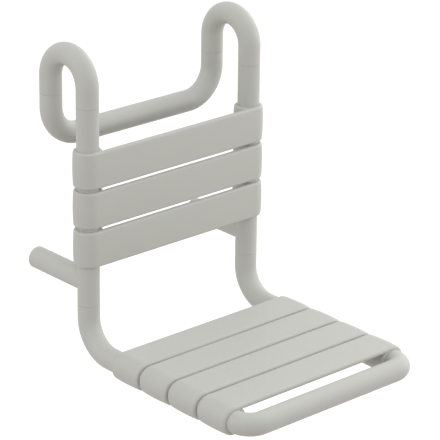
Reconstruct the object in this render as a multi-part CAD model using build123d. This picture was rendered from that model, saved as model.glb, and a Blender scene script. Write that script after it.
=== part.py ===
from build123d import *
import os

# Hook-in shower seat: a bent tube frame of nylon jackets over steel cores, with moulded slats.
# Millimetres. X runs across the seat, Y towards the wall, Z up.
# The origin lies on the axis of the grab rail that the hooks hang on, halfway across the seat.

# Driving dimensions: tube frame
tube_diameter = 33.0        # outside of the nylon jackets
core_diameter = 25.0        # outside of the steel tubes inside the jackets
core_wall = 2.0
core_clearance = 0.1        # radial gap between a steel tube and what slides in or over it
rail_diameter = 33.0        # grab rail under the crown of the hooks
frame_width = 309.0         # left tube axis to right tube axis
hook_leg_spacing = 83.0     # upright axis to rear leg axis, across the hook
crossbar_bend_radius = 48.0
lower_bend_radius = 50.0
hook_end = 26.0             # straight end of a hook's leg, from its bend to its seam
crossbar_end = 22.0         # straight end of the crossbar's leg, from its bend up to its seam
lower_end = 21.0            # straight end of a seat rail, from its lower bend up to its seam
front_bar_end = 40.0        # straight end of the front bar, hidden under the front slat
seam_chamfer = 0.3          # broken edge of a jacket's end, which makes the fine line at a seam
spigot_setback = 4.0        # how far a joint spigot stays short of the bend

# Driving dimensions: backrest, counted upwards from the lower seam of the uprights
strut_rise = 35.0           # seam to strut axis
back_slat_rise = 27.0       # strut axis to the lower edge of the lowest slat
back_slat_height = 55.8
back_slat_gap = 4.3
back_slat_names = ("lower", "middle", "upper")
upright_top = 64.0          # upper edge of the top slat to the upper seam

# Driving dimensions: seat, counted forwards from the end of the lower bend
seat_rear_margin = 25.7     # bend to the rear edge of the rear slat
seat_slat_depth = 57.5
seat_slat_gap = 4.25
seat_slat_names = ("rear", "mid_rear", "mid_front", "front")
seat_front_gap = 10.0       # front edge of the front slat to the front bar
front_bend_lead = 1.7       # front edge of the front slat to the start of the front bend

# Driving dimensions: slats
slat_clearance = 0.1        # radial gap between a slat's collar and the tube
collar_wall = 5.7           # at the crown, and the thickness of the slat between its collars
slat_crown = 1.0            # how far the slat's face bulges at its middle
slat_inner_chamfer = 0.2    # mouth of a collar's bore, and rear edges of the panel
slat_end_land = 0.2         # flat left on a slat's end between its outer round and that chamfer
rib_depth = 9.0             # stiffening ribs behind the panel
rib_thickness = 4.0
rib_spacing = 28.0          # rib centre to rib centre
rib_edge_chamfer = 0.6      # free edges of a rib

# Driving dimensions: slat screws, countersunk
screw_diameter = 4.0
screw_head_diameter = 7.6
screw_head_depth = 2.2
screw_head_sink = 0.5       # head below the crown of the collar
screw_clearance = 0.1
screw_tip_gap = 0.4         # end of the screw to the steel tube
screw_tip_length = 1.2

# Driving dimensions: wall struts
strut_length = 120.0        # upright axis to the wall
strut_clearance = 0.05      # gap at the shaped end of strut jacket and strut core
cap_thickness = 4.0         # flange of the wall cap
cap_plug_length = 16.0
cap_plug_chamfer = 1.0

# Radii
tube_radius = tube_diameter / 2
core_radius = core_diameter / 2
core_bore_radius = core_radius - core_wall
jacket_bore_radius = core_radius + core_clearance
plug_radius = core_bore_radius - core_clearance
hook_radius = hook_leg_spacing / 2
collar_bore_radius = tube_radius + slat_clearance
collar_radius = collar_bore_radius + collar_wall
slat_edge_round = collar_wall - slat_crown - slat_inner_chamfer - slat_end_land
front_bend_radius = seat_front_gap + tube_radius - front_bend_lead

# Heights along a slat screw, measured from the tube axis, and the face that a wall cap sits on
screw_head_z = -(collar_radius - screw_head_sink)
screw_neck_z = screw_head_z + screw_head_depth
screw_tip_z = -(jacket_bore_radius + screw_tip_gap)
strut_end = strut_length - cap_thickness

# Places of the tube axes
side_x = frame_width / 2
upright_y = -hook_radius
rear_leg_y = hook_radius
crown_z = (tube_diameter + rail_diameter) / 2
arch_z = crown_z - hook_radius
upper_seam_z = arch_z - hook_end
crossbar_z = upper_seam_z - crossbar_end - crossbar_bend_radius

back_stack = len(back_slat_names) * back_slat_height + (len(back_slat_names) - 1) * back_slat_gap
lower_seam_z = upper_seam_z - upright_top - back_stack - back_slat_rise - strut_rise
strut_z = lower_seam_z + strut_rise
back_slats_z = strut_z + back_slat_rise
seat_z = lower_seam_z - lower_end - lower_bend_radius

seat_stack = len(seat_slat_names) * seat_slat_depth + (len(seat_slat_names) - 1) * seat_slat_gap
seat_slats_y = upright_y - lower_bend_radius - seat_rear_margin
front_bar_y = seat_slats_y - seat_stack - seat_front_gap - tube_radius
front_seam_y = front_bar_y + front_bend_radius + front_bar_end
wall_y = upright_y + strut_length

sides = {"left": -1, "right": 1}


# Centre lines of the frame's pieces
def hook_path(side):
    x = side * side_x
    front_leg = Line((x, upright_y, upper_seam_z), (x, upright_y, arch_z))
    arch = ThreePointArc((x, upright_y, arch_z), (x, 0, crown_z), (x, rear_leg_y, arch_z))
    rear_leg = Line((x, rear_leg_y, arch_z), (x, rear_leg_y, upper_seam_z))
    return Wire([front_leg, arch, rear_leg])


def crossbar_path():
    return FilletPolyline(
        (-side_x, rear_leg_y, upper_seam_z),
        (-side_x, rear_leg_y, crossbar_z),
        (side_x, rear_leg_y, crossbar_z),
        (side_x, rear_leg_y, upper_seam_z),
        radius=crossbar_bend_radius,
    )


def upright_path(side):
    x = side * side_x
    return Line((x, upright_y, lower_seam_z), (x, upright_y, upper_seam_z))


def seat_rail_path(side):
    x = side * side_x
    return FilletPolyline(
        (x, upright_y, lower_seam_z),
        (x, upright_y, seat_z),
        (x, front_seam_y, seat_z),
        radius=lower_bend_radius,
    )


def front_bar_path():
    return FilletPolyline(
        (-side_x, front_seam_y, seat_z),
        (-side_x, front_bar_y, seat_z),
        (side_x, front_bar_y, seat_z),
        (side_x, front_seam_y, seat_z),
        radius=front_bend_radius,
    )


# Tubes swept along a centre line
def swept_bar(path, radius):
    start = Plane(path @ 0, z_dir=path % 0)
    return sweep(start * Circle(radius), path=path)


def core_tube(path):
    return swept_bar(path, core_radius) - swept_bar(path, core_bore_radius)


def jacket_tube(path):
    jacket = swept_bar(path, tube_radius) - swept_bar(path, jacket_bore_radius)
    rims = [
        edge
        for edge in jacket.edges().filter_by(GeomType.CIRCLE)
        if edge.radius > jacket_bore_radius + core_clearance
        and min((edge.arc_center - path @ 0).length, (edge.arc_center - path @ 1).length) < seam_chamfer
    ]
    return chamfer(rims, seam_chamfer)


def joint_spigot(x, y, z, direction, straight_end):
    length = 2 * (straight_end - spigot_setback)
    place = Plane((x, y, z), z_dir=direction)
    return place * Cylinder(plug_radius, length)


# Slats: local X across the seat, local Y along the tubes, local Z out of the face
def slat_section(width):
    """Section of a collar's wall, which the panel shares: crowned face, rounded edges, chamfered back."""
    half = width / 2
    edge = collar_radius - slat_crown
    outline = [
        Line((edge, half), (collar_bore_radius, half)),
        Line((collar_bore_radius, half), (collar_bore_radius, -half)),
        Line((collar_bore_radius, -half), (edge, -half)),
        ThreePointArc((edge, -half), (collar_radius, 0), (edge, half)),
    ]
    section = make_face(outline)
    section = chamfer(section.vertices().sort_by(Axis.X)[:2], slat_inner_chamfer)
    return fillet(section.vertices().sort_by(Axis.X)[-2:], slat_edge_round)


def screw_tool(x, head_radius, shank_radius, tip, reach):
    """A countersunk screw's space below a collar, reaching outwards past the head by the given length."""
    outside = screw_head_z - reach
    profile = Polyline(
        (0, tip), (shank_radius, tip), (shank_radius, screw_neck_z), (head_radius, screw_head_z),
        (head_radius, outside), (0, outside), close=True,
    )
    turned = revolve(Plane.XZ * make_face(profile), Axis.Z)
    return Pos(x, 0, 0) * turned


def slat(width):
    section = slat_section(width)
    across = Plane((side_x, 0, 0), x_dir=(0, 0, 1), z_dir=(-1, 0, 0))
    body = extrude(across * section, frame_width)
    for side in sides.values():
        axis = Axis((side * side_x, 0, 0), (0, 1, 0))
        body += revolve(Pos(side * side_x, 0, 0) * section, axis)
    rib_root = collar_bore_radius + collar_wall / 2
    rib_height = rib_depth + collar_wall / 2
    rib = Box(frame_width, rib_thickness, rib_height, align=(Align.CENTER, Align.CENTER, Align.MAX))
    rib = chamfer(rib.faces().sort_by(Axis.Z)[0].edges().filter_by(Axis.X), rib_edge_chamfer)
    for place in (-rib_spacing / 2, rib_spacing / 2):
        body += Pos(0, place, rib_root) * rib
    for side in sides.values():
        x = side * side_x
        body -= Pos(x, 0, 0) * Rot(90, 0, 0) * Cylinder(collar_bore_radius, width)
        body -= screw_tool(
            x, screw_head_diameter / 2 + screw_clearance, screw_diameter / 2 + screw_clearance,
            -tube_radius, collar_wall,
        )
    return body


def slat_screw(x):
    shank_radius = screw_diameter / 2
    profile = Polyline(
        (0, screw_tip_z), (shank_radius / 2, screw_tip_z), (shank_radius, screw_tip_z - screw_tip_length),
        (shank_radius, screw_neck_z), (screw_head_diameter / 2, screw_head_z), (0, screw_head_z), close=True,
    )
    return Pos(x, 0, 0) * revolve(Plane.XZ * make_face(profile), Axis.Z)


def screw_pilot(x):
    reach = tube_radius - jacket_bore_radius + 2 * core_clearance
    middle = -(tube_radius + jacket_bore_radius) / 2
    return Pos(x, 0, middle) * Cylinder(screw_diameter / 2 + screw_clearance, reach)


# Places of the slats on the frame
back_slat_planes = {
    name: Plane(
        (0, upright_y, back_slats_z + i * (back_slat_height + back_slat_gap) + back_slat_height / 2),
        x_dir=(1, 0, 0),
        z_dir=(0, -1, 0),
    )
    for i, name in enumerate(back_slat_names)
}
seat_slat_planes = {
    name: Plane(
        (0, seat_slats_y - i * (seat_slat_depth + seat_slat_gap) - seat_slat_depth / 2, seat_z),
        x_dir=(1, 0, 0),
        z_dir=(0, 0, 1),
    )
    for i, name in enumerate(seat_slat_names)
}


def with_pilot_holes(jacket, planes, side):
    for plane in planes:
        jacket -= plane * screw_pilot(side * side_x)
    return jacket


# Wall struts
def strut_bar(side, radius, start, end):
    return Plane((side * side_x, upright_y + start, strut_z), z_dir=(0, 1, 0)) * Cylinder(
        radius, end - start, align=(Align.CENTER, Align.CENTER, Align.MIN)
    )


def upright_bar(side, radius):
    return swept_bar(upright_path(side), radius)


def strut_jacket(side):
    jacket = strut_bar(side, tube_radius, 0, strut_end) - strut_bar(side, jacket_bore_radius, 0, strut_end)
    return jacket - upright_bar(side, tube_radius + strut_clearance)


def strut_core(side):
    core = strut_bar(side, core_radius, 0, strut_end) - strut_bar(side, core_bore_radius, 0, strut_end)
    return core - upright_bar(side, core_radius + strut_clearance)


def strut_cap(side):
    flange = strut_bar(side, tube_radius, strut_end, strut_length)
    flange = chamfer(flange.edges().sort_by(Axis.Y)[-1], seam_chamfer)
    plug = strut_bar(side, plug_radius, strut_end - cap_plug_length, strut_end)
    plug = chamfer(plug.edges().sort_by(Axis.Y)[0], cap_plug_chamfer)
    return flange + plug


def upright_jacket(side):
    jacket = with_pilot_holes(jacket_tube(upright_path(side)), back_slat_planes.values(), side)
    return jacket - strut_bar(side, jacket_bore_radius, 0, tube_diameter)


def seat_rail_jacket(side):
    rear_slats = list(seat_slat_planes.values())[:-1]
    return with_pilot_holes(jacket_tube(seat_rail_path(side)), rear_slats, side)


def front_bar_jacket():
    bar = jacket_tube(front_bar_path())
    for side in sides.values():
        bar = with_pilot_holes(bar, [seat_slat_planes[seat_slat_names[-1]]], side)
    return bar


def screw_set(planes):
    return Compound([plane * slat_screw(s * side_x) for plane in planes for s in sides.values()])


# The assembly, one entry for each node
nodes = {
    "rear_crossbar": jacket_tube(crossbar_path()),
    "rear_crossbar_core": core_tube(crossbar_path()),
    "front_bar": front_bar_jacket(),
    "front_bar_core": core_tube(front_bar_path()),
    "back_slat_screws": screw_set(back_slat_planes.values()),
    "seat_slat_screws": screw_set(seat_slat_planes.values()),
}
for side_name, side in sides.items():
    x = side * side_x
    nodes[f"hook_{side_name}"] = jacket_tube(hook_path(side))
    nodes[f"hook_core_{side_name}"] = core_tube(hook_path(side))
    nodes[f"upright_{side_name}"] = upright_jacket(side)
    nodes[f"upright_core_{side_name}"] = core_tube(upright_path(side))
    nodes[f"seat_rail_{side_name}"] = seat_rail_jacket(side)
    nodes[f"seat_rail_core_{side_name}"] = core_tube(seat_rail_path(side))
    nodes[f"strut_{side_name}"] = strut_jacket(side)
    nodes[f"strut_core_{side_name}"] = strut_core(side)
    nodes[f"strut_cap_{side_name}"] = strut_cap(side)
    nodes[f"upper_spigot_{side_name}"] = joint_spigot(x, upright_y, upper_seam_z, (0, 0, 1), hook_end)
    nodes[f"rear_leg_spigot_{side_name}"] = joint_spigot(x, rear_leg_y, upper_seam_z, (0, 0, 1), crossbar_end)
    nodes[f"lower_spigot_{side_name}"] = joint_spigot(x, upright_y, lower_seam_z, (0, 0, 1), lower_end)
    nodes[f"front_spigot_{side_name}"] = joint_spigot(x, front_seam_y, seat_z, (0, 1, 0), front_bar_end)

back_slat = slat(back_slat_height)
seat_slat = slat(seat_slat_depth)
for name, plane in back_slat_planes.items():
    nodes[f"back_slat_{name}"] = plane * back_slat
for name, plane in seat_slat_planes.items():
    nodes[f"seat_slat_{name}"] = plane * seat_slat

os.makedirs("parts", exist_ok=True)
for name, shape in nodes.items():
    export_step(shape, f"parts/{name}.step")
print(f"{len(nodes)} nodes, overall reach {wall_y - front_bar_y + tube_radius:.1f} mm")
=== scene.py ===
"""Dresses the hook-in shower seat: silk-matt nylon, rolled slat rims, countersunk screws, studio light."""

import logging
import math
from dataclasses import dataclass, field, replace
from enum import Enum
from typing import Any, Callable, Iterable, Optional, Union

import bmesh
import bpy
from mathutils import Matrix, Vector


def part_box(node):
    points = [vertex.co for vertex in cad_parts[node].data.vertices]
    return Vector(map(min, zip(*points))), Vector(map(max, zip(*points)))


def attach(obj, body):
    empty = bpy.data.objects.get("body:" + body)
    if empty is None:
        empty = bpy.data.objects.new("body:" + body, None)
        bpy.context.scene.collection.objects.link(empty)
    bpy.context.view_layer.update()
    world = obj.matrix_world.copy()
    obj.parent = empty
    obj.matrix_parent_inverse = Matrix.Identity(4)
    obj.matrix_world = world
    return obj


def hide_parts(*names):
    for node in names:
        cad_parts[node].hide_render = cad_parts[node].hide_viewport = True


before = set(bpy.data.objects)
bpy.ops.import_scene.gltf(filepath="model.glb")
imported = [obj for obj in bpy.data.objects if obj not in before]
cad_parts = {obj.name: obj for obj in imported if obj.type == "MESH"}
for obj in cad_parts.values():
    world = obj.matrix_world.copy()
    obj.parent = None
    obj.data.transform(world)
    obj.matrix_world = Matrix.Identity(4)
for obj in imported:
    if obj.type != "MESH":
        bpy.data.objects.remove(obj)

LOG = logging.getLogger("shower_seat")
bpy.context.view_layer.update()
MM = 0.001
SIDES = ("left", "right")
BODY = "root"
FRONT = Vector((0.0, -1.0, 0.0))
BACK = Vector((0.0, 1.0, 0.0))
UP = Vector((0.0, 0.0, 1.0))
DOWN = Vector((0.0, 0.0, -1.0))
FACING = 0.9  # a face whose normal has this share along an axis counts as facing that way
NOISE_MIDDLE = 0.5  # what a noise node gives on average
MIX_SHARE, MIX_FIRST, MIX_SECOND = 0, 6, 7  # inputs of a colour Mix node, whose names repeat
LEVEL_TILT = 90.0  # degrees from straight down, where a new camera looks, to level

Colour = tuple[float, float, float, float]
Place = tuple[float, float, float]


# Values and nodes of a material


class Wire:
    """A value on its way through a material, on which plain arithmetic adds Math nodes."""

    def __init__(self, shader: "Shader", socket: Optional[bpy.types.NodeSocket]) -> None:
        """Wraps one output socket of a node in the given shader, or none for a node that ends the tree."""
        self.shader = shader
        self.socket = socket

    def math(self, operation: str, first: "Term", second: "Term" = 0.0) -> "Wire":
        """Adds one Math node.

        Args:
            operation: Blender's name of the operation.
            first: the left operand.
            second: the right operand.

        Returns:
            The node's result.
        """
        return self.shader.node("ShaderNodeMath", {"operation": operation}, {0: first, 1: second})

    def __add__(self, other: "Term") -> "Wire":
        """This value plus another."""
        return self.math("ADD", self, other)

    __radd__ = __add__

    def __sub__(self, other: "Term") -> "Wire":
        """This value less another."""
        return self.math("SUBTRACT", self, other)

    def __rsub__(self, other: "Term") -> "Wire":
        """Another value less this one."""
        return self.math("SUBTRACT", other, self)

    def __mul__(self, other: "Term") -> "Wire":
        """This value times another."""
        return self.math("MULTIPLY", self, other)

    __rmul__ = __mul__

    def size(self) -> "Wire":
        """This value without its sign."""
        return self.math("ABSOLUTE", self)

    def largest(self, other: "Term") -> "Wire":
        """The larger of this value and another."""
        return self.math("MAXIMUM", self, other)

    def band(self, low: float, high: float) -> "Wire":
        """Rises smoothly from 0 at low to 1 at high.

        Args:
            low: the value that gives 0.
            high: the value that gives 1, which may be the smaller one.

        Returns:
            The eased share, kept within 0 and 1.
        """
        settings = {"interpolation_type": "SMOOTHSTEP", "clamp": True}
        limits = {"Value": self, "From Min": low, "From Max": high}
        return self.shader.node("ShaderNodeMapRange", settings, limits)


Term = Union[Wire, float]


class Shader:
    """A material's or world's node tree, filled through one method that adds any node."""

    def __init__(self, owner: Union[bpy.types.Material, bpy.types.World]) -> None:
        """Empties the owner's node tree and keeps it.

        Args:
            owner: the material or world that the tree belongs to.
        """
        owner.use_nodes = True
        self.tree = owner.node_tree
        self.tree.nodes.clear()

    def node(
        self,
        kind: str,
        settings: Optional[dict[str, Any]] = None,
        inputs: Optional[dict[Union[str, int], Any]] = None,
        output: Union[str, int] = 0,
    ) -> Wire:
        """Adds a node of any type.

        Args:
            kind: Blender's type name of the node.
            settings: the node's own properties, set before its sockets.
            inputs: values or wires for input sockets, by name or number.
            output: the output socket to hand on, by name or number.

        Returns:
            The chosen output.
        """
        made = self.tree.nodes.new(kind)
        for name, value in (settings or {}).items():
            setattr(made, name, value)
        for name, value in (inputs or {}).items():
            if isinstance(value, Wire):
                self.tree.links.new(value.socket, made.inputs[name])
            else:
                made.inputs[name].default_value = value
        if isinstance(output, str):
            return Wire(self, made.outputs[output])
        outlets = [socket for socket in made.outputs if socket.enabled]
        return Wire(self, outlets[output] if outlets else None)

    def place(self, scale: Place = (1.0, 1.0, 1.0)) -> Wire:
        """The surface point in the part's own frame, in metres, with each axis scaled."""
        point = self.node("ShaderNodeTexCoord", output="Object")
        return self.node("ShaderNodeMapping", inputs={"Vector": point, "Scale": scale})

    def noise(self, point: Wire, size: float, detail: float = 2.0, roughness: float = 0.5) -> Wire:
        """Cloudy noise about zero.

        Args:
            point: where it is read.
            size: width of one blotch, in metres.
            detail: octaves of finer noise.
            roughness: how strong the finer octaves are.

        Returns:
            A value from about -0.5 to 0.5.
        """
        inputs = {"Vector": point, "Scale": 1.0 / size, "Detail": detail, "Roughness": roughness}
        return self.node("ShaderNodeTexNoise", inputs=inputs, output="Fac") - NOISE_MIDDLE

    def tint(self, colour: Colour, brightness: Wire) -> Wire:
        """Makes a colour lighter or darker.

        Args:
            colour: the colour to change.
            brightness: 1 for no change, and less for darker.

        Returns:
            The changed colour.
        """
        channels = dict.fromkeys(("Red", "Green", "Blue"), brightness)
        grey = self.node("ShaderNodeCombineColor", inputs=channels)
        settings = {"data_type": "RGBA", "blend_type": "MULTIPLY", "clamp_result": True}
        return self.node("ShaderNodeMix", settings, {MIX_SHARE: 1.0, MIX_FIRST: colour, MIX_SECOND: grey})

    def bump(self, height: Wire, distance: float, strength: float) -> Wire:
        """A surface normal bent by a height field."""
        inputs = {"Height": height, "Distance": distance, "Strength": strength}
        return self.node("ShaderNodeBump", inputs=inputs)

    def surface(self, shader_wire: Wire, kind: str = "ShaderNodeOutputMaterial") -> None:
        """Ends the tree with the given surface."""
        self.node(kind, inputs={"Surface": shader_wire})


# Finishes


class Grain(Enum):
    """How a nylon surface was made, which sets its fine texture."""

    DRAWN = "smooth tube jacket with a faint grain and a soft waviness"
    MOULDED = "injection moulding from an eroded tool, finely grained"


@dataclass(frozen=True)
class NylonFinish:
    """Through-coloured nylon with a silk-matt skin."""

    name: str
    grain: Grain
    colour: Colour = (0.516, 0.523, 0.487, 1.0)
    roughness: float = 0.46
    specular: float = 0.45
    cloud_size: float = 34 * MM
    cloud_detail: float = 3.0
    cloud_depth: float = 0.030
    cloud_gloss: float = 0.05
    speck_size: float = 0.9 * MM
    speck_detail: float = 1.0
    speck_depth: float = 0.022
    speck_gloss: float = 0.06
    grain_size: float = 0.6 * MM
    grain_detail: float = 2.0
    grain_roughness: float = 0.6
    grain_depth: float = 0.030 * MM
    grain_strength: float = 1.0
    drawn_share: float = 0.3  # of the grain's depth that a drawn tube has
    wave_size: float = 7 * MM
    wave_detail: float = 1.0
    wave_depth: float = 0.012 * MM
    rub_start: float = 18.6 * MM  # distance from the rail's axis where rubbing begins
    rub_full: float = 16.8 * MM  # distance at which the skin is fully rubbed
    rub_detail: float = 2.0
    rub_polish: float = 0.12
    rub_stain: float = 0.04
    joint_heights: tuple[float, ...] = ()
    joint_reach: float = 0.70 * MM  # how far from a joint its painted shade begins
    joint_full: float = 0.23 * MM  # how near to a joint it is darkest
    # painted shade: how much darker the skin is painted along a joint
    joint_shade: float = 0.09

    def relief(self, shader: Shader, point: Wire) -> Wire:
        """Finds the height of the skin.

        Args:
            shader: the material's node tree.
            point: where the height is read.

        Returns:
            The height as a share of the grain's depth.
        """
        fine = shader.noise(point, self.grain_size, self.grain_detail, self.grain_roughness)
        if self.grain is Grain.MOULDED:
            return fine
        waves = shader.noise(point, self.wave_size, self.wave_detail)
        return fine * self.drawn_share + waves * (self.wave_depth / self.grain_depth)

    def rubbing(self, shader: Shader, point: Wire) -> Wire:
        """Finds where the skin lies against the grab rail, whose axis is the X axis.

        Args:
            shader: the material's node tree.
            point: where the rubbing is read.

        Returns:
            1 on the rail and 0 away from it.
        """
        off_axis = {0: point, 1: (0.0, 1.0, 1.0)}
        across = shader.node("ShaderNodeVectorMath", {"operation": "MULTIPLY"}, off_axis)
        reach = shader.node("ShaderNodeVectorMath", {"operation": "LENGTH"}, {0: across})
        patches = shader.noise(point, self.wave_size, self.rub_detail)
        return (reach + patches * (self.rub_start - self.rub_full)).band(self.rub_start, self.rub_full)

    def joint_shade_lines(self, shader: Shader, point: Wire) -> Wire:
        """Finds the heights where two tube lengths meet, along which shade in the seam grooves is painted.

        Args:
            shader: the material's node tree.
            point: where the lines are read.

        Returns:
            1 on a joint and 0 elsewhere.
        """
        height = shader.node("ShaderNodeSeparateXYZ", inputs={"Vector": point}, output="Z")
        away = [(height - joint).size() for joint in self.joint_heights]
        lines = [distance.band(self.joint_reach, self.joint_full) for distance in away]
        return sum(lines[1:], lines[0])

    def material(self) -> bpy.types.Material:
        """Makes the nylon material.

        Returns:
            A material whose colour, gloss and fine relief vary over the surface.
        """
        made = bpy.data.materials.new(self.name)
        shader = Shader(made)
        point = shader.place()
        clouds = shader.noise(point, self.cloud_size, self.cloud_detail)
        specks = shader.noise(point, self.speck_size, self.speck_detail)
        rubbed = self.rubbing(shader, point)
        brightness = 1.0 + clouds * self.cloud_depth + specks * self.speck_depth - rubbed * self.rub_stain
        # painted shade: the skin is darkened along the joints, where the seam grooves lie in shade
        if self.joint_heights:
            brightness = brightness - self.joint_shade_lines(shader, point) * self.joint_shade
        inputs = {
            "Base Color": shader.tint(self.colour, brightness),
            "Roughness": self.roughness
            + clouds * self.cloud_gloss
            + specks * self.speck_gloss
            - rubbed * self.rub_polish,
            "Specular IOR Level": self.specular,
            "Normal": shader.bump(self.relief(shader, point), self.grain_depth, self.grain_strength),
        }
        shader.surface(shader.node("ShaderNodeBsdfPrincipled", inputs=inputs))
        return made


@dataclass(frozen=True)
class SteelFinish:
    """Steel, bare or zinc-coated, with fine turning or drawing marks across one axis."""

    name: str
    colour: Colour
    roughness: float
    mark_scale: Place = (1.0, 1.0, 40.0)
    mark_size: float = 2 * MM
    mark_detail: float = 3.0
    mark_depth: float = 0.010 * MM
    mark_strength: float = 0.6
    mark_tint: float = 0.12
    mark_gloss: float = 0.12
    stain_size: float = 12 * MM
    stain_detail: float = 2.0
    stain_tint: float = 0.10
    stain_gloss: float = 0.08

    def material(self) -> bpy.types.Material:
        """Makes the steel material.

        Returns:
            A metal whose brightness and roughness follow its marks.
        """
        made = bpy.data.materials.new(self.name)
        shader = Shader(made)
        marks = shader.noise(shader.place(self.mark_scale), self.mark_size, self.mark_detail)
        stain = shader.noise(shader.place(), self.stain_size, self.stain_detail)
        inputs = {
            "Base Color": shader.tint(self.colour, 1.0 + marks * self.mark_tint + stain * self.stain_tint),
            "Metallic": 1.0,
            "Roughness": self.roughness + marks * self.mark_gloss + stain * self.stain_gloss,
            "Normal": shader.bump(marks, self.mark_depth, self.mark_strength),
        }
        shader.surface(shader.node("ShaderNodeBsdfPrincipled", inputs=inputs))
        return made


# Steps that the sub-assemblies share


def dress(names: Iterable[str], material: bpy.types.Material) -> None:
    """Puts one material into every slot of the named nodes and reports them.

    Args:
        names: nodes of the frame.
        material: what they are made of.
    """
    for name in names:
        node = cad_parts[name]
        node.data.materials.clear()
        node.data.materials.append(material)
        LOG.info("%s dressed in %s", name, material.name)


def middle(node: str) -> Vector:
    """The centre of a node's box."""
    low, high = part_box(node)
    return (low + high) / 2


def pick_faces(piece: bpy.types.Object, wanted: Callable[[bmesh.types.BMFace], bool]) -> None:
    """Selects some faces of a piece in edit mode, and nothing else.

    Args:
        piece: the piece that is being shaped.
        wanted: a test that accepts the faces to select.
    """
    bpy.ops.mesh.select_all(action="DESELECT")
    bpy.ops.mesh.select_mode(type="FACE")
    mesh = bmesh.from_edit_mesh(piece.data)
    for face in mesh.faces:
        face.select_set(wanted(face))
    bmesh.update_edit_mesh(piece.data)


def draw_out(step: Place, scale: Place, about: Place = (0.0, 0.0, 0.0)) -> None:
    """Extrudes the selected end by a step and scales it about a point.

    Args:
        step: how far the end moves.
        scale: how much it grows along each axis.
        about: the point that it is scaled about.
    """
    bpy.ops.mesh.extrude_region_move(TRANSFORM_OT_translate={"value": step})
    bpy.ops.transform.resize(value=scale, center_override=about)


def set_in_place(piece: bpy.types.Object, place: Matrix) -> None:
    """Moves a piece, puts its place into its mesh and leaves it as the only selected one.

    Args:
        piece: the piece to move.
        place: where it goes.
    """
    piece.matrix_world = place
    bpy.ops.object.select_all(action="DESELECT")
    bpy.context.view_layer.objects.active = piece
    piece.select_set(True)
    bpy.ops.object.transform_apply(location=True, rotation=True, scale=True)


def copy_of(pattern: bpy.types.Object, name: str) -> bpy.types.Object:
    """Copies a piece together with its mesh.

    Args:
        pattern: the piece to copy.
        name: the copy's name.

    Returns:
        The copy, in the scene.
    """
    piece = bpy.data.objects.new(name, pattern.data.copy())
    bpy.context.scene.collection.objects.link(piece)
    return piece


# Sub-assemblies of the seat


@dataclass
class TubeFrame:
    """The bent loop of nylon-jacketed tube, with its steel cores and joint spigots."""

    jacket: NylonFinish = NylonFinish("nylon_drawn", Grain.DRAWN)
    joined_length: str = "upright_left"  # its ends are at the heights of the joints that show
    core: SteelFinish = SteelFinish("zinc_coated_steel", colour=(0.55, 0.56, 0.58, 1.0), roughness=0.45)
    joints: tuple[str, ...] = ("upper", "rear_leg", "lower", "front")
    lengths: tuple[str, ...] = ("hook", "upright", "seat_rail", "strut")
    bars: tuple[str, ...] = ("rear_crossbar", "front_bar")

    def build(self) -> None:
        """Dresses the jackets, the cores inside them and the spigots at their joints."""
        jackets = [*self.bars, *(f"{part}_{side}" for part in self.lengths for side in SIDES)]
        cores = [f"{bar}_core" for bar in self.bars]
        cores += [f"{part}_core_{side}" for part in self.lengths for side in SIDES]
        spigots = [f"{joint}_spigot_{side}" for joint in self.joints for side in SIDES]
        # heights of the joints, along which painted shade darkens the jackets
        joints = tuple(corner.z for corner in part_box(self.joined_length))
        dress(jackets, replace(self.jacket, joint_heights=joints).material())
        dress(cores + spigots, self.core.material())


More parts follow.
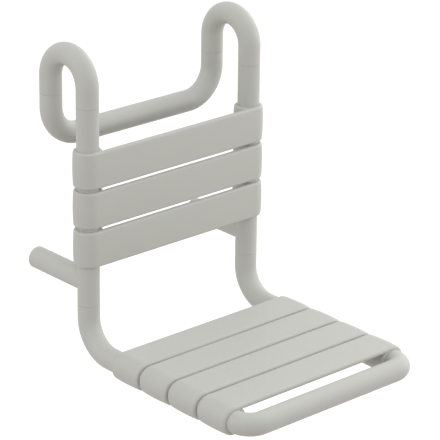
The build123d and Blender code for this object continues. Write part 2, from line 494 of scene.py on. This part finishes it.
@dataclass
class Slats:
    """The moulded slats of seat and backrest, with a rolled rim behind each long edge."""

    finish: NylonFinish = NylonFinish("nylon_moulded", Grain.MOULDED, roughness=0.50)
    back: tuple[str, ...] = ("back_slat_lower", "back_slat_middle", "back_slat_upper")
    seat: tuple[str, ...] = ("seat_slat_rear", "seat_slat_mid_rear", "seat_slat_mid_front", "seat_slat_front")
    panel_thickness: float = 5.7 * MM  # at the crown of its face
    rim_radius: float = 3.0 * MM
    rim_rise: float = 0.3 * MM  # of the rim's axis from the panel's back towards its face
    rim_length: float = 268 * MM
    rim_sides: int = 32
    rim_smooth_angle: float = 35.0
    run_out_step: float = 3.2 * MM
    run_out_shares: tuple[float, ...] = (0.94, 0.80, 0.62, 0.45)  # of its size that it keeps at each step
    run_out_root: Place = (0.0, -0.8 * MM, 2.0 * MM)  # the point that the run-out shrinks towards

    def build(self) -> None:
        """Dresses every slat and sets its rims."""
        material = self.finish.material()
        dress(self.back + self.seat, material)
        pattern = self.rim()
        pattern.data.materials.append(material)
        for slat in self.back:
            self.set_rims(pattern, slat, FRONT, UP)
        for slat in self.seat:
            self.set_rims(pattern, slat, UP, FRONT)
        bpy.data.objects.remove(pattern)

    def rim(self) -> bpy.types.Object:
        """Models one rim along X, which runs out into the panel at both ends.

        Returns:
            The rim, with the slat's edge on its Y side and the slat's face on its Z side.
        """
        bpy.ops.object.select_all(action="DESELECT")
        bpy.ops.mesh.primitive_cylinder_add(
            vertices=self.rim_sides,
            radius=self.rim_radius,
            depth=self.rim_length,
            rotation=(0.0, math.pi / 2, 0.0),
        )
        rim = bpy.context.object
        bpy.ops.object.transform_apply(rotation=True)
        bpy.ops.object.mode_set(mode="EDIT")
        for way in (-1.0, 1.0):
            pick_faces(rim, lambda face: face.normal.x * way > FACING)
            for share in self.run_out_shares:
                draw_out((way * self.run_out_step, 0.0, 0.0), (1.0, share, share), self.run_out_root)
        bpy.ops.object.mode_set(mode="OBJECT")
        bpy.ops.object.shade_smooth_by_angle(angle=math.radians(self.rim_smooth_angle))
        return rim

    def set_rims(self, pattern: bpy.types.Object, slat: str, face: Vector, edge: Vector) -> None:
        """Sets a rim behind both long edges of a slat and hands them to the body as one piece.

        Args:
            pattern: the rim to copy.
            slat: the slat's node.
            face: the way the slat's face looks.
            edge: the way one of its long edges looks.
        """
        low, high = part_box(slat)
        half = (high - low) / 2
        rims = []
        for outward in (edge, -edge):
            spot = middle(slat)
            spot += face * (abs(half.dot(face)) - self.panel_thickness + self.rim_rise)
            spot += outward * (abs(half.dot(edge)) - self.rim_radius)
            turn = Matrix((outward.cross(face), outward, face)).transposed().to_4x4()
            rim = copy_of(pattern, f"{slat}_rims")
            set_in_place(rim, Matrix.Translation(spot) @ turn)
            rims.append(rim)
        for rim in rims:
            rim.select_set(True)
        bpy.context.view_layer.objects.active = rims[0]
        bpy.ops.object.join()
        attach(rims[0], BODY)
        LOG.info("%s_rims set in place", slat)


@dataclass
class WallCaps:
    """The flat caps that close the struts and rest on the wall."""

    finish: NylonFinish = NylonFinish("nylon_cap", Grain.MOULDED, roughness=0.50)

    def build(self) -> None:
        """Dresses both caps."""
        dress([f"strut_cap_{side}" for side in SIDES], self.finish.material())


@dataclass
class SlatScrews:
    """Countersunk screws with a hexagon socket, which pin the slats' collars to the tubes."""

    slats: Slats
    back_node: str = "back_slat_screws"
    seat_node: str = "seat_slat_screws"
    finish: SteelFinish = SteelFinish("stainless_steel", colour=(0.60, 0.59, 0.57, 1.0), roughness=0.30)
    around: int = 36
    head_radius: float = 3.8 * MM
    rim_height: float = 0.25 * MM
    rim_bevel: float = 0.12 * MM
    rim_steps: int = 3
    head_depth: float = 2.2 * MM
    thread_radius: float = 2.0 * MM
    thread_depth: float = 0.3 * MM
    thread_pitch: float = 0.7 * MM
    thread_turns: int = 6
    tip_share: float = 0.5
    socket_sides: int = 6
    socket_width: float = 2.5 * MM
    socket_depth: float = 1.5 * MM
    socket_point: float = 0.375 * MM
    socket_tip_share: float = 0.3
    merge_distance: float = 0.0012 * MM
    smooth_angle: float = 28.0
    turn_step: float = 47.0  # degrees from one screw's socket to the next

    def build(self) -> None:
        """Models one screw and sets a copy into every collar."""
        material = self.finish.material()
        back_low, back_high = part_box(self.back_node)
        seat_low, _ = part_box(self.seat_node)
        pattern = self.model(back_high.y - back_low.y)
        pattern.data.materials.append(material)
        self.fill_collars(pattern, self.back_node, self.slats.back, back_high, BACK)
        self.fill_collars(pattern, self.seat_node, self.slats.seat, seat_low, DOWN)
        bpy.data.objects.remove(pattern)

    def fill_collars(
        self, pattern: bpy.types.Object, node: str, slats: tuple[str, ...], level: Vector, facing: Vector
    ) -> None:
        """Sets a screw into both collars of each slat.

        Args:
            pattern: the screw to copy.
            node: the CAD node that the screws stand for.
            slats: the slats' nodes.
            level: a point that is level with the tops of the heads.
            facing: the way the heads face.
        """
        screw_name = node.removesuffix("s")
        collars = [(middle(f"seat_rail_{side}").x, middle(slat)) for slat in slats for side in SIDES]
        for number, (x, centre) in enumerate(collars, start=1):
            spot = Vector((x, centre.y, centre.z))
            spot += facing * facing.dot(level - spot)
            self.copy(pattern, f"{screw_name}_{number}", node, spot, facing, number * self.turn_step)

    def model(self, length: float) -> bpy.types.Object:
        """Models a screw whose head faces up at the origin.

        Args:
            length: from the top of the head to the tip.

        Returns:
            The screw.
        """
        bpy.ops.object.select_all(action="DESELECT")
        bpy.ops.mesh.primitive_cylinder_add(
            vertices=self.around,
            radius=self.head_radius,
            depth=self.rim_height,
            location=(0.0, 0.0, -self.rim_height / 2),
        )
        screw = bpy.context.object
        bpy.ops.object.transform_apply(location=True)
        bpy.ops.object.mode_set(mode="EDIT")
        self.pick_lowest(screw)
        self.draw_down(self.head_depth - self.rim_height, self.thread_radius / self.head_radius)
        root = 1.0 - self.thread_depth / self.thread_radius
        for _ in range(self.thread_turns):
            self.draw_down(self.thread_pitch / 2, root)
            self.draw_down(self.thread_pitch / 2, 1.0 / root)
        self.draw_down(length - self.head_depth - self.thread_turns * self.thread_pitch, self.tip_share)
        self.pick_rim(screw)
        bpy.ops.mesh.bevel(offset=self.rim_bevel, segments=self.rim_steps, affect="EDGES")
        bpy.ops.object.mode_set(mode="OBJECT")
        self.cut_socket(screw)
        bpy.ops.object.mode_set(mode="EDIT")
        bpy.ops.mesh.select_all(action="SELECT")
        bpy.ops.mesh.remove_doubles(threshold=self.merge_distance)
        bpy.ops.mesh.normals_make_consistent(inside=False)
        bpy.ops.object.mode_set(mode="OBJECT")
        bpy.ops.object.shade_smooth_by_angle(angle=math.radians(self.smooth_angle))
        return screw

    def draw_down(self, step: float, scale: float) -> None:
        """Extrudes the selected end downwards and scales it about the screw's axis."""
        draw_out((0.0, 0.0, -step), (scale, scale, 1.0))

    def pick_lowest(self, screw: bpy.types.Object) -> None:
        """Selects the end face that points down."""
        pick_faces(screw, lambda face: face.normal.z < -FACING)

    def pick_rim(self, screw: bpy.types.Object) -> None:
        """Selects the edge round the top of the head."""
        pick_faces(screw, lambda face: face.normal.z > FACING)
        bpy.ops.mesh.region_to_loop()

    def cut_socket(self, screw: bpy.types.Object) -> None:
        """Cuts the socket into the head with a six-sided tool that ends in a blunt point.

        Args:
            screw: the screw, with the top of its head at the origin.
        """
        corner = self.socket_width / 2 / math.cos(math.pi / self.socket_sides)
        bpy.ops.object.select_all(action="DESELECT")
        bpy.ops.mesh.primitive_cylinder_add(
            vertices=self.socket_sides,
            radius=corner,
            depth=2 * self.socket_depth,
        )
        tool = bpy.context.object
        bpy.ops.object.mode_set(mode="EDIT")
        self.pick_lowest(tool)
        self.draw_down(self.socket_point, self.socket_tip_share)
        bpy.ops.object.mode_set(mode="OBJECT")
        bpy.ops.object.select_all(action="DESELECT")
        bpy.context.view_layer.objects.active = screw
        screw.select_set(True)
        cut = screw.modifiers.new("socket", "BOOLEAN")
        cut.object = tool
        cut.operation = "DIFFERENCE"
        cut.solver = "EXACT"
        bpy.ops.object.modifier_apply(modifier=cut.name)
        bpy.data.objects.remove(tool)

    def copy(
        self, pattern: bpy.types.Object, name: str, node: str, spot: Vector, facing: Vector, turn: float
    ) -> None:
        """Sets one copy of the screw in place and hands it to the body.

        Args:
            pattern: the screw to copy.
            name: the copy's name.
            node: the CAD node that it stands for.
            spot: where the top of its head is.
            facing: the way its head faces.
            turn: how far it is screwed round, in degrees.
        """
        screw = copy_of(pattern, name)
        swing = facing.to_track_quat("Z", "Y").to_matrix().to_4x4()
        set_in_place(screw, Matrix.Translation(spot) @ swing @ Matrix.Rotation(math.radians(turn), 4, "Z"))
        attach(screw, BODY)
        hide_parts(node)
        LOG.info("%s set in place", name)


# The studio


@dataclass(frozen=True)
class Lamp:
    """One soft studio lamp that faces the seat, with its angles in degrees and its lengths in metres."""

    name: str
    azimuth: float
    elevation: float
    distance: float
    size: float
    watts: float


@dataclass
class Studio:
    """Camera, pale floor, white surroundings and soft lamps."""

    camera_place: Place = (-2.2630, -2.6517, 1.1309)
    camera_yaw: float = -42.16
    camera_pitch: float = 21.717
    camera_roll: float = 0.779
    image_pixels: float = 440.0
    focal_pixels: float = 2515.3  # with the camera's place and angles, fitted to the photograph's outline
    sensor: float = 36.0
    sight: float = 100.0
    rail_height: float = 0.85
    floor_size: float = 80.0
    floor_colour: Colour = (0.51, 0.475, 0.46, 1.0)
    floor_lift: float = 0.60  # glow that makes the floor white to the eye
    sky_colour: Colour = (1.0, 1.0, 1.0, 1.0)
    ambient: float = 0.895
    aim: Place = (0.0, -0.16, -0.20)
    lamps: tuple[Lamp, ...] = field(
        default_factory=lambda: (
            Lamp("top_lamp", azimuth=20.0, elevation=80.0, distance=2.2, size=2.0, watts=2.2),
            Lamp("left_lamp", azimuth=-105.0, elevation=15.0, distance=2.0, size=1.6, watts=5.0),
            Lamp("front_right_lamp", azimuth=50.0, elevation=14.0, distance=2.2, size=1.6, watts=6.0),
            Lamp("right_lamp", azimuth=88.0, elevation=20.0, distance=2.4, size=3.0, watts=22.0),
        )
    )

    def build(self) -> None:
        """Sets the whole studio up."""
        self.floor()
        self.surroundings()
        for lamp in self.lamps:
            self.light(lamp)
        self.camera()
        bpy.context.scene.view_settings.view_transform = "Standard"

    def seen_white(self, shader: Shader) -> Wire:
        """Finds the rays that show the background: from the camera, in gloss and through glass.

        Args:
            shader: the node tree of the floor or the world.

        Returns:
            1 for these rays and 0 for those that only carry light.
        """
        path = [
            shader.node("ShaderNodeLightPath", output=name)
            for name in ("Is Camera Ray", "Is Glossy Ray", "Is Transmission Ray")
        ]
        return path[0].largest(path[1]).largest(path[2])

    def floor(self) -> None:
        """Lays a pale floor below the rail, white to the eye and with its shadow kept."""
        bpy.ops.mesh.primitive_plane_add(size=self.floor_size, location=(0.0, 0.0, -self.rail_height))
        floor = bpy.context.object
        floor.name = "floor"
        made = bpy.data.materials.new("pale_floor")
        shader = Shader(made)
        matt = shader.node("ShaderNodeBsdfDiffuse", inputs={"Color": self.floor_colour})
        glow = self.seen_white(shader) * self.floor_lift
        lift = shader.node("ShaderNodeEmission", inputs={"Strength": glow})
        shader.surface(shader.node("ShaderNodeAddShader", inputs={0: matt, 1: lift}))
        floor.data.materials.append(made)

    def surroundings(self) -> None:
        """Makes the world white to the eye and evenly dim as a light."""
        world = bpy.data.worlds.new("studio_world")
        bpy.context.scene.world = world
        shader = Shader(world)
        strength = self.ambient + self.seen_white(shader) * (1.0 - self.ambient)
        white = shader.node("ShaderNodeBackground", inputs={"Color": self.sky_colour, "Strength": strength})
        shader.surface(white, "ShaderNodeOutputWorld")

    def light(self, lamp: Lamp) -> None:
        """Hangs one lamp, square to the line from it to the seat.

        Args:
            lamp: which lamp it is.
        """
        around, up = math.radians(lamp.azimuth), math.radians(lamp.elevation)
        away = Vector((math.sin(around) * math.cos(up), -math.cos(around) * math.cos(up), math.sin(up)))
        bpy.ops.object.light_add(type="AREA", location=Vector(self.aim) + away * lamp.distance)
        made = bpy.context.object
        made.name = lamp.name
        made.rotation_euler = away.to_track_quat("Z", "Y").to_euler()
        made.data.shape = "DISK"
        made.data.size = lamp.size
        made.data.energy = lamp.watts
        made.visible_camera = False

    def camera(self) -> None:
        """Sets the camera up at the photograph's viewing angle."""
        turn = Matrix.Rotation(math.radians(self.camera_yaw), 4, "Z")
        tilt = Matrix.Rotation(math.radians(LEVEL_TILT - self.camera_pitch), 4, "X")
        roll = Matrix.Rotation(math.radians(self.camera_roll), 4, "Z")
        bpy.ops.object.camera_add()
        camera = bpy.context.object
        camera.matrix_world = Matrix.Translation(self.camera_place) @ turn @ tilt @ roll
        camera.data.sensor_fit = "HORIZONTAL"
        camera.data.sensor_width = self.sensor
        camera.data.lens = self.focal_pixels * self.sensor / self.image_pixels
        camera.data.clip_end = self.sight
        bpy.context.scene.camera = camera


def main() -> None:
    """Builds the sub-assemblies in order."""
    logging.basicConfig(level=logging.INFO, format="%(name)s: %(message)s")
    slats = Slats()
    for assembly in (TubeFrame(), slats, WallCaps(), SlatScrews(slats), Studio()):
        assembly.build()
        LOG.info("%s done", type(assembly).__name__)


if __name__ == "__main__":
    main()
